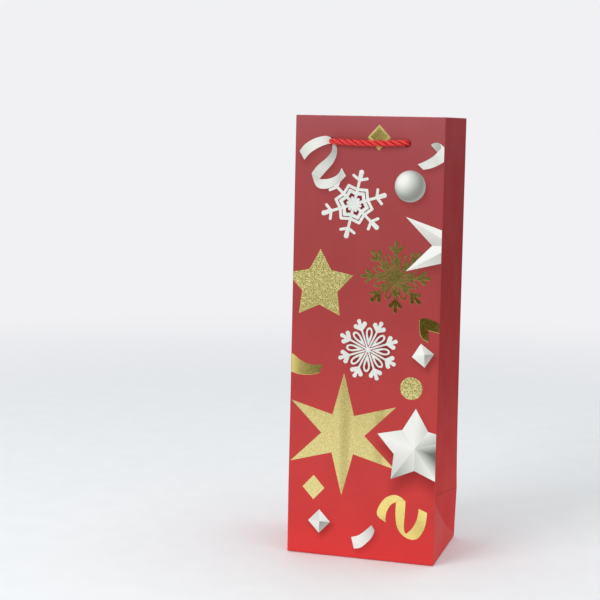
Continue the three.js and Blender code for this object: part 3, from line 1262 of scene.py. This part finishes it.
def colour(red, green, blue):
    """A colour as a screen shows it, 0 to 255, turned into the amount of light that nodes work in."""
    parts = [part / 255 for part in (red, green, blue)]
    return (*(part / 12.92 if part <= 0.04045 else ((part + 0.055) / 1.055) ** 2.4 for part in parts), 1.0)


def lay_coats(base, *coats):
    """Lays colours over a base, one after another. coats are (mask, colour)."""
    for mask, tone in coats:
        base = mask.blend(base, tone)
    return base


def place_in(tree):
    return add_node(tree, "TexCoord", "Object")


def axis_of(tree, axis):
    """One of the place's three numbers, 0 for x, 1 for y and 2 for z."""
    return add_node(tree, "SeparateXYZ", axis, _0=place_in(tree))


def stored(tree, name):
    """A number that the mesh carries."""
    return add_node(tree, "Attribute", 2, {"attribute_name": name})


def noise(tree, scale, detail):
    return add_node(tree, "TexNoise", 0, Vector=place_in(tree), Scale=scale, Detail=detail)


def new_group(name, inputs, outputs):
    """An empty node group of numbers. Returns it, its inputs as wires, and its outputs to fill."""
    tree = bpy.data.node_groups.new(name, "ShaderNodeTree")
    for label, value in inputs.items():
        tree.interface.new_socket(label, in_out="INPUT", socket_type="NodeSocketFloat").default_value = value
    for label in outputs:
        tree.interface.new_socket(label, in_out="OUTPUT", socket_type="NodeSocketFloat")
    values = [Wire(socket) for socket in tree.nodes.new("NodeGroupInput").outputs[: len(inputs)]]
    return tree, values, tree.nodes.new("NodeGroupOutput").inputs


def use_group(tree, group, **values):
    """Places a node group in a material and returns its outputs."""
    node = tree.nodes.new("ShaderNodeGroup")
    node.node_tree = group
    for name, value in values.items():
        node.inputs[name].default_value = value
    return [Wire(socket) for socket in node.outputs]


def start_material(name, **constants):
    """A Principled material. constants are values of its shader's own sockets."""
    material = bpy.data.materials.new(name)
    material.use_nodes = True
    shader = material.node_tree.nodes["Principled BSDF"]
    for label, value in constants.items():
        shader.inputs[label.replace("_", " ")].default_value = value
    return material, material.node_tree, shader.inputs


def give_bump(shader, height, distance):
    add_node(height.tree, "Bump", Height=height, Distance=distance, Strength=1.0).to(shader["Normal"])


# %% [markdown]
# ## Effects that several finishes share
#
# Paper has a fine grain and a slow unevenness, from the fibres and the glue. Where it is folded, the
# film and the ink stretch and wear through to the white. Foil is bright where it lies flat and has
# tiny dents. Each is one node group that gives out numbers, and each material uses them in its own way.

# %% Shared effects
grain_group, (fineness,), results = new_group("paper_grain", {"Fineness": 1800}, ("Grain", "Mottle"))
noise(grain_group, fineness, 3).to(results["Grain"])
noise(grain_group, 28, 4).to(results["Mottle"])

wear_group, (width,), results = new_group("fold_wear", {"Width": 0.6}, ("Wear",))
x, y, z = (axis_of(wear_group, axis) for axis in range(3))


def near_end(distance, end):
    """Falls from 1 at a face of the bag to 0 a fold's width inside it."""
    return (1 - (end - abs(distance)) / (width * MM)).held()


side_x = abs(x) + z * (MOUTH_PULL * MM / HEIGHT)
upright = near_end(side_x, HALF_WIDTH) * near_end(y, HALF_DEPTH)
rim = z.spread(HEIGHT - 0.7 * MM, HEIGHT)
foot = z.spread(0.8 * MM, 0.0)
folds = upright.math("MAXIMUM", rim.math("MAXIMUM", foot))
patchy = noise(wear_group, 320, 4).spread(0.42, 0.62)
(folds * patchy).held().to(results["Wear"])

dent_group, (flake, curl), results = new_group(
    "foil_dents", {"Flake": 1500, "Curl": 520}, ("Flakes", "Dents", "Sweep", "Curls")
)
cells = add_node(dent_group, "TexVoronoi", 1, Vector=place_in(dent_group), Scale=flake)
add_node(dent_group, "SeparateColor", 0, _0=cells).to(results["Flakes"])
noise(dent_group, 160, 2).to(results["Dents"])
noise(dent_group, 9, 1).to(results["Sweep"])
rings = add_node(dent_group, "TexVoronoi", 0, Vector=place_in(dent_group), Scale=curl, Randomness=0.55)
(rings * 14).math("SINE").spread(-0.6, 0.6).to(results["Curls"])
print("groups:", [group.name for group in bpy.data.node_groups])

# %% [markdown]
# ## Printed paper
#
# The red is printed as a gradient, wine red above and bright red at the foot, and the paler, greyer
# red near the top is a painted sheen. It darkens in the printed shadows and lightens where a fold has
# worn. A painted shade darkens the sides, most from 150 mm up. The slanting creases near the foot are
# too fine to shape in the mesh, so they are lines found from the place on the side: the fold line is
# lighter where its ink has worn, a painted sheen lightens the paper below it, and a painted shade
# darkens the ridge line. Both lines dent the paper.

# %% Printed paper
# a printed gradient from the foot (0) to the top (1); the paler, greyer last stops are a painted sheen near
# the top
REDS = [
    (0.0, colour(226, 64, 64)),
    (0.1, colour(209, 66, 64)),
    (0.25, colour(196, 69, 67)),
    (0.45, colour(176, 68, 68)),
    (0.65, colour(163, 69, 68)),
    (0.9, colour(163, 75, 77)),
    (1.0, colour(168, 88, 91)),
]
# worn ink at the folds; the same colour also paints the sheen below the slanting fold
WORN_AND_SHEEN_RED = colour(226, 150, 146)
# the printed shadows, and also the painted shade along the ridge crease
DARK_INK_AND_CREASE_SHADE = colour(84, 16, 20)
SIDE_PAINTED_SHADE = (0.83, 0.43, 0.43, 1)  # painted shade that darkens and deepens the sides


def printed_red(tree):
    """The red of the print, with its shadows."""
    return stored(tree, "ink_shadow").blend((axis_of(tree, 2) / HEIGHT).ramp(REDS), DARK_INK_AND_CREASE_SHADE)


def above_line(tree, front, back):
    """Height above a line across the sides that meets their front and back edges at these mm."""
    slope = (back - front) / (2 * HALF_DEPTH / MM)
    return axis_of(tree, 2) - (axis_of(tree, 1) * slope + (front + back) / 2 * MM)


def thin_line(away, width):
    """1 where a distance is 0, falling to 0 at a width in mm."""
    return (1 - abs(away) / (width * MM)).held()


red_print, tree, shader = start_material("wine_red_print", Specular_IOR_Level=0.008)
grain, mottle = use_group(tree, grain_group, Fineness=1600)
(wear,) = use_group(tree, wear_group, Width=0.5)
x, y, height = (axis_of(tree, axis) for axis in range(3))
sides = abs(x).spread(HALF_WIDTH - 4 * MM, HALF_WIDTH - 3 * MM)
sides = sides * abs(y).spread(HALF_DEPTH - 0.2 * MM, HALF_DEPTH - MM)
above_fold = above_line(tree, FOLD_FRONT, 0)
fold_line = thin_line(above_fold, 0.5) * sides
sheen_below_fold = above_fold.math("LESS_THAN") * sides
ridge_line = thin_line(above_line(tree, CREASE_FRONT, CREASE_BACK), 0.55) * sides
centre_crease = thin_line(y, 0.7) * height.spread(60 * MM, 110 * MM) * sides
# painted shade on the sides: weak at the foot, full from 150 mm up
side_shade_amount = sides * height.spread(10 * MM, 150 * MM, 0.1, 1)
red = lay_coats(
    side_shade_amount.blend(printed_red(tree), SIDE_PAINTED_SHADE, "MULTIPLY"),
    (mottle.spread(0.3, 0.75, 0, 0.1), colour(120, 28, 32)),
    (grain.spread(0.55, 0.8, 0, 0.12), colour(235, 120, 112)),
    # painted sheen on the paper below the slanting fold
    (sheen_below_fold * 0.14, WORN_AND_SHEEN_RED),
    (fold_line * 0.5, WORN_AND_SHEEN_RED),
    # painted shade along the ridge crease
    (ridge_line * 0.4, DARK_INK_AND_CREASE_SHADE),
    (wear * 0.4, WORN_AND_SHEEN_RED),
)
red.to(shader["Base Color"])
mottle.spread(0.3, 0.7, 0.46, 0.54).to(shader["Roughness"])
lines = fold_line * 1.2 - centre_crease * 0.5 + ridge_line
give_bump(shader, grain * 0.08 + mottle * 0.6 + lines, 0.25 * MM)
print(red_print.name, len(tree.nodes), "nodes")

# %% [markdown]
# ## Bare paper, card and board
#
# Inside, the same sheet is unprinted white paper with a soft tooth. The bottom flaps show print below
# and white above, which one material tells apart by which way the face looks. The strip card is a
# cheap cream card, and the base is greyboard, pressed from waste paper, with darker and lighter fibres.


# %% Unprinted papers
def fibre_paper(name, light, dark, fleck, fineness, roughness, flecks=0.12):
    """A matt paper or board: two tones mottled together, with scattered flecks."""
    material, tree, shader = start_material(name, Specular_IOR_Level=0.25, Roughness=roughness)
    grain, mottle = use_group(tree, grain_group, Fineness=fineness)
    scattered = noise(tree, fineness * 0.5, 1).spread(0.66, 0.74, 0, flecks)
    tone = scattered.blend(mottle.spread(0.3, 0.7).blend(light, dark), fleck)
    tone.to(shader["Base Color"])
    give_bump(shader, grain + mottle * 0.5, 0.12 * MM)
    return material, tree, shader, tone


WHITES = colour(238, 236, 232), colour(228, 225, 219), colour(200, 196, 188)
CREAMS = colour(214, 204, 184), colour(200, 188, 166), colour(150, 138, 118)
GREYS = colour(158, 152, 142), colour(138, 132, 123), colour(96, 90, 84)
bare_paper = fibre_paper("bare_paper", *WHITES, 1500, 0.7)[0]
strip_card = fibre_paper("cream_card", *CREAMS, 1100, 0.8)[0]
greyboard = fibre_paper("pressed_greyboard", *GREYS, 900, 0.85, 0.5)[0]

flap_paper, tree, shader, white = fibre_paper("bottom_flap_paper", *WHITES, 1500, 0.6)
facing = add_node(tree, "SeparateXYZ", 2, _0=add_node(tree, "TexCoord", "Normal"))
facing.math("LESS_THAN", -0.5).blend(white, printed_red(tree)).to(shader["Base Color"])

board.data.materials.append(greyboard)
seam.data.materials.append(bare_paper)
sheet.data.materials[0] = red_print
sheet.data.materials[1] = bare_paper
for part, sides, material in (
    ("bottom_flap", ("front", "back", "left", "right"), flap_paper),
    ("handle_card", ("front", "back"), strip_card),
):
    for side in sides:
        materials = frame["nodes"][f"{side}_{part}"].data.materials
        materials.clear()
        materials.append(material)
print("papers:", [paper.name for paper in (bare_paper, strip_card, greyboard, flap_paper)])

# %% [markdown]
# ## Satin rope
#
# The strands carry two numbers: how far round the strand a point lies and how far along it. Fine
# stripes in those numbers, slanted by the twist, are the filaments of each yarn, and their colour is
# darker between the yarns, a painted shade. The satin look comes from a sheen on top of a fairly smooth
# red. A painted shade deepens the colour in the grooves between strands, and a painted highlight
# lightens the crown of each strand.

# %% Rope
rope_yarn, tree, shader = start_material(
    "satin_rope_yarn", Sheen_Weight=0.25, Sheen_Roughness=0.3, Sheen_Tint=colour(255, 120, 110)
)
ONE_TURN = 2 * math.pi
FILAMENTS = 5  # in a yarn
round_strand = stored(tree, "yarn_round")
twist = round_strand + stored(tree, "yarn_along") / YARN_LAY
filaments = (twist * (ONE_TURN * YARNS * FILAMENTS)).math("SINE")
yarns = (twist * (ONE_TURN * YARNS)).math("COSINE")
outward = (round_strand * ONE_TURN).math("COSINE")
stripes = filaments * 0.35 + yarns * 0.65
uneven = noise(tree, 900, 2)
tone = lay_coats(
    # filament stripes, with painted shade between the yarns
    stripes.spread(-1, 0.8).blend(colour(234, 12, 20), colour(255, 44, 42)),
    # painted shade in the grooves between strands
    (outward.spread(0.6, 0.2, 0, 0.8), colour(165, 0, 6)),
    # painted highlight on the crown of each strand
    (outward.spread(0.86, 1.0, 0, 0.5), colour(255, 104, 92)),
    (uneven.spread(0.5, 0.75, 0, 0.25), colour(255, 110, 100)),
)
tone.to(shader["Base Color"])
stripes.spread(-1, 1, 0.38, 0.24).to(shader["Roughness"])
give_bump(shader, stripes + uneven * 0.5, 0.06 * MM)
for piece in handle_pieces:
    piece.data.materials.append(rope_yarn)
print(rope_yarn.name, "on", len(handle_pieces), "pieces")

# %% [markdown]
# ## Foils and inks
#
# Plain foil is a mirror with small dents. Glitter foil is pressed with a fine pattern, whose flakes
# face many ways: each cell gets its own tone and smoothness. Silver foil on this paper looks pearly.
# White ink isn't metal at all, and its greys are read from the shade stored in each facet.


# %% Foils
BAND_X = 14 * MM  # the glitter is duller in a vertical band this far either side of the middle


def foil(name, dark, light, flake, sparkle, roughness, metal, bump, by_shade=False, curls=0.0):
    """A foil. sparkle is how much its flakes differ, roughness (least, most), curls how deep a pattern is."""
    material, tree, shader = start_material(name, Metallic=metal)
    flakes, dents, sweep, pattern = use_group(tree, dent_group, Flake=flake)
    if by_shade:
        base = stored(tree, "shade")
    else:
        # without a stored shade, the glitter is lighter towards the foot and duller in the band
        from_band = abs(abs(axis_of(tree, 0)) - BAND_X)
        base = sweep.spread(0.3, 0.65, 0.75, 1) * axis_of(tree, 2).spread(0.19, 0.04, 0.4, 1)
        base = base * from_band.spread(1 * MM, 6 * MM, 0.6, 1)
    base = (base + (flakes - 0.5) * sparkle + (pattern - 0.5) * curls).held()
    base.blend(dark, light).to(shader["Base Color"])
    flakes.spread(0, 1, *roughness).to(shader["Roughness"])
    give_bump(shader, dents + flakes * (sparkle * 0.25) + pattern * (curls * 2), bump * MM)
    return material


white_ink, tree, shader = start_material("white_ink", Specular_IOR_Level=0.3)
grain = use_group(tree, grain_group, Fineness=1600)[0]
ink_tone = (stored(tree, "shade") + (grain - 0.5) * 0.16).held().ramp([
    (0.0, colour(104, 102, 94)),
    (0.25, colour(146, 149, 140)),
    (0.5, colour(184, 189, 180)),
    (0.75, colour(215, 217, 208)),
    (1.0, colour(243, 243, 237)),
])
ink_tone.to(shader["Base Color"])
grain.spread(0.3, 0.7, 0.38, 0.5).to(shader["Roughness"])
give_bump(shader, grain, 0.02 * MM)

GLITTER = colour(168, 150, 80), colour(246, 232, 160)
BROCADE = colour(152, 140, 66), colour(236, 226, 156)
GOLD = colour(90, 74, 14), colour(255, 234, 142)
PEARL = colour(212, 217, 209), colour(250, 250, 246)
glitter = foil("pressed_gold_glitter", *GLITTER, 2100, 0.5, (0.36, 0.55), 0.75, 0.1)
brocade = foil("gold_brocade_foil", *BROCADE, 1700, 0.3, (0.34, 0.5), 0.75, 0.1, curls=0.75)
smooth_gold = foil("smooth_gold_foil", *GOLD, 900, 0.1, (0.26, 0.32), 0.85, 0.08, by_shade=True)
pearl_silver = foil("pearl_silver_foil", *PEARL, 1100, 0.4, (0.35, 0.45), 0.15, 0.06)
finishes = {  # for each finish its material and its slot in the record
    "gold_glitter": (glitter, "gold_foil"),
    "gold_brocade": (brocade, "gold_foil"),
    "gold_foil": (smooth_gold, "gold_foil"),
    "silver_foil": (pearl_silver, "silver_foil"),
    "white_ink": (white_ink, "pearl_ink"),
}
for piece in prints:
    material, slot = finishes[piece["finish"]]
    piece.data.materials.clear()
    piece.data.materials.append(material)
print("finishes:", sorted(finishes))

# %% [markdown]
# ## The studio
#
# The bag stands on a pale sheet that runs up behind it with no visible join. Here the floor is a disc
# that fades out with distance, and the room beyond it is the same pale grey. Soft boxes light the
# front from the left and above. What the foils mirror is a dimmer room, or they would look like paper.

# %% Floor
FLOOR_REACH, FLOOR_DROP = 3, 0.4 * MM
FADE_START, FADE_END = 0.45, 1.5
bpy.ops.mesh.primitive_circle_add(
    vertices=96, radius=FLOOR_REACH, fill_type="NGON", location=(0, 0, -FLOOR_DROP)
)
floor = name_last("studio_floor")
floor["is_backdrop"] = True
material, tree, shader = start_material("studio_paper", Roughness=0.9, Specular_IOR_Level=0.1)
cloudy = noise(tree, 40, 3).spread(0.3, 0.7)
cloudy.blend(colour(243, 247, 248), colour(241, 245, 246)).to(shader["Base Color"])
reach = add_node(tree, "VectorMath", 1, {"operation": "LENGTH"}, _0=place_in(tree))
faded = add_node(
    tree,
    "MixShader",
    _0=reach.spread(FADE_START, FADE_END),
    _1=Wire(tree.nodes["Principled BSDF"].outputs[0]),
    _2=add_node(tree, "BsdfTransparent"),
)
faded.to(tree.nodes["Material Output"].inputs["Surface"])
floor.data.materials.append(material)
print("floor:", 2 * FLOOR_REACH, "m across")

# %% Room and lights
world = bpy.data.worlds.get("World") or bpy.data.worlds.new("World")
bpy.context.scene.world = world
world.use_nodes = True
tree = world.node_tree
tree.nodes.clear()
sky = add_node(
    tree,
    "MixShader",
    _0=add_node(tree, "LightPath", "Is Camera Ray"),
    _1=add_node(tree, "Background", Color=colour(240, 240, 243), Strength=0.6),
    _2=add_node(tree, "Background", Color=colour(241, 241, 244), Strength=1.0),
)
sky.to(tree.nodes.new("ShaderNodeOutputWorld").inputs["Surface"])

BAG_MIDDLE = Vector((0, 0, 0.17))
for name, place, size, watts in (
    ("front_left_box", (-1.0, -1.5, 1.1), 1.1, 18.2),
    ("front_right_box", (1.3, -1.3, 0.9), 0.9, 1),
    ("right_low_box", (1.0, -0.4, 0.12), 0.5, 1.6),
    ("top_box", (0.1, 0.2, 1.9), 1.3, 10),
):
    light = bpy.data.lights.new(name, "AREA")
    light.size = size
    light.energy = watts
    lamp = bpy.data.objects.new(name, light)
    bpy.context.scene.collection.objects.link(lamp)
    turn = (BAG_MIDDLE - Vector(place)).to_track_quat("-Z", "Y")
    lamp.matrix_world = Matrix.Translation(place) @ turn.to_matrix().to_4x4()
bpy.context.scene.view_settings.view_transform = "Standard"

# %% [markdown]
#
# The looks must not change the size of the measured model, so both boxes are printed side by side.

# %% Print the sizes and finish
look_low, look_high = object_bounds()
sizes = {"model": [list(model_low), list(model_high)], "looks": [list(look_low), list(look_high)]}
for name, (low, high) in sizes.items():
    print(name, [round((b - a) / MM, 2) for a, b in zip(low, high)], "mm")
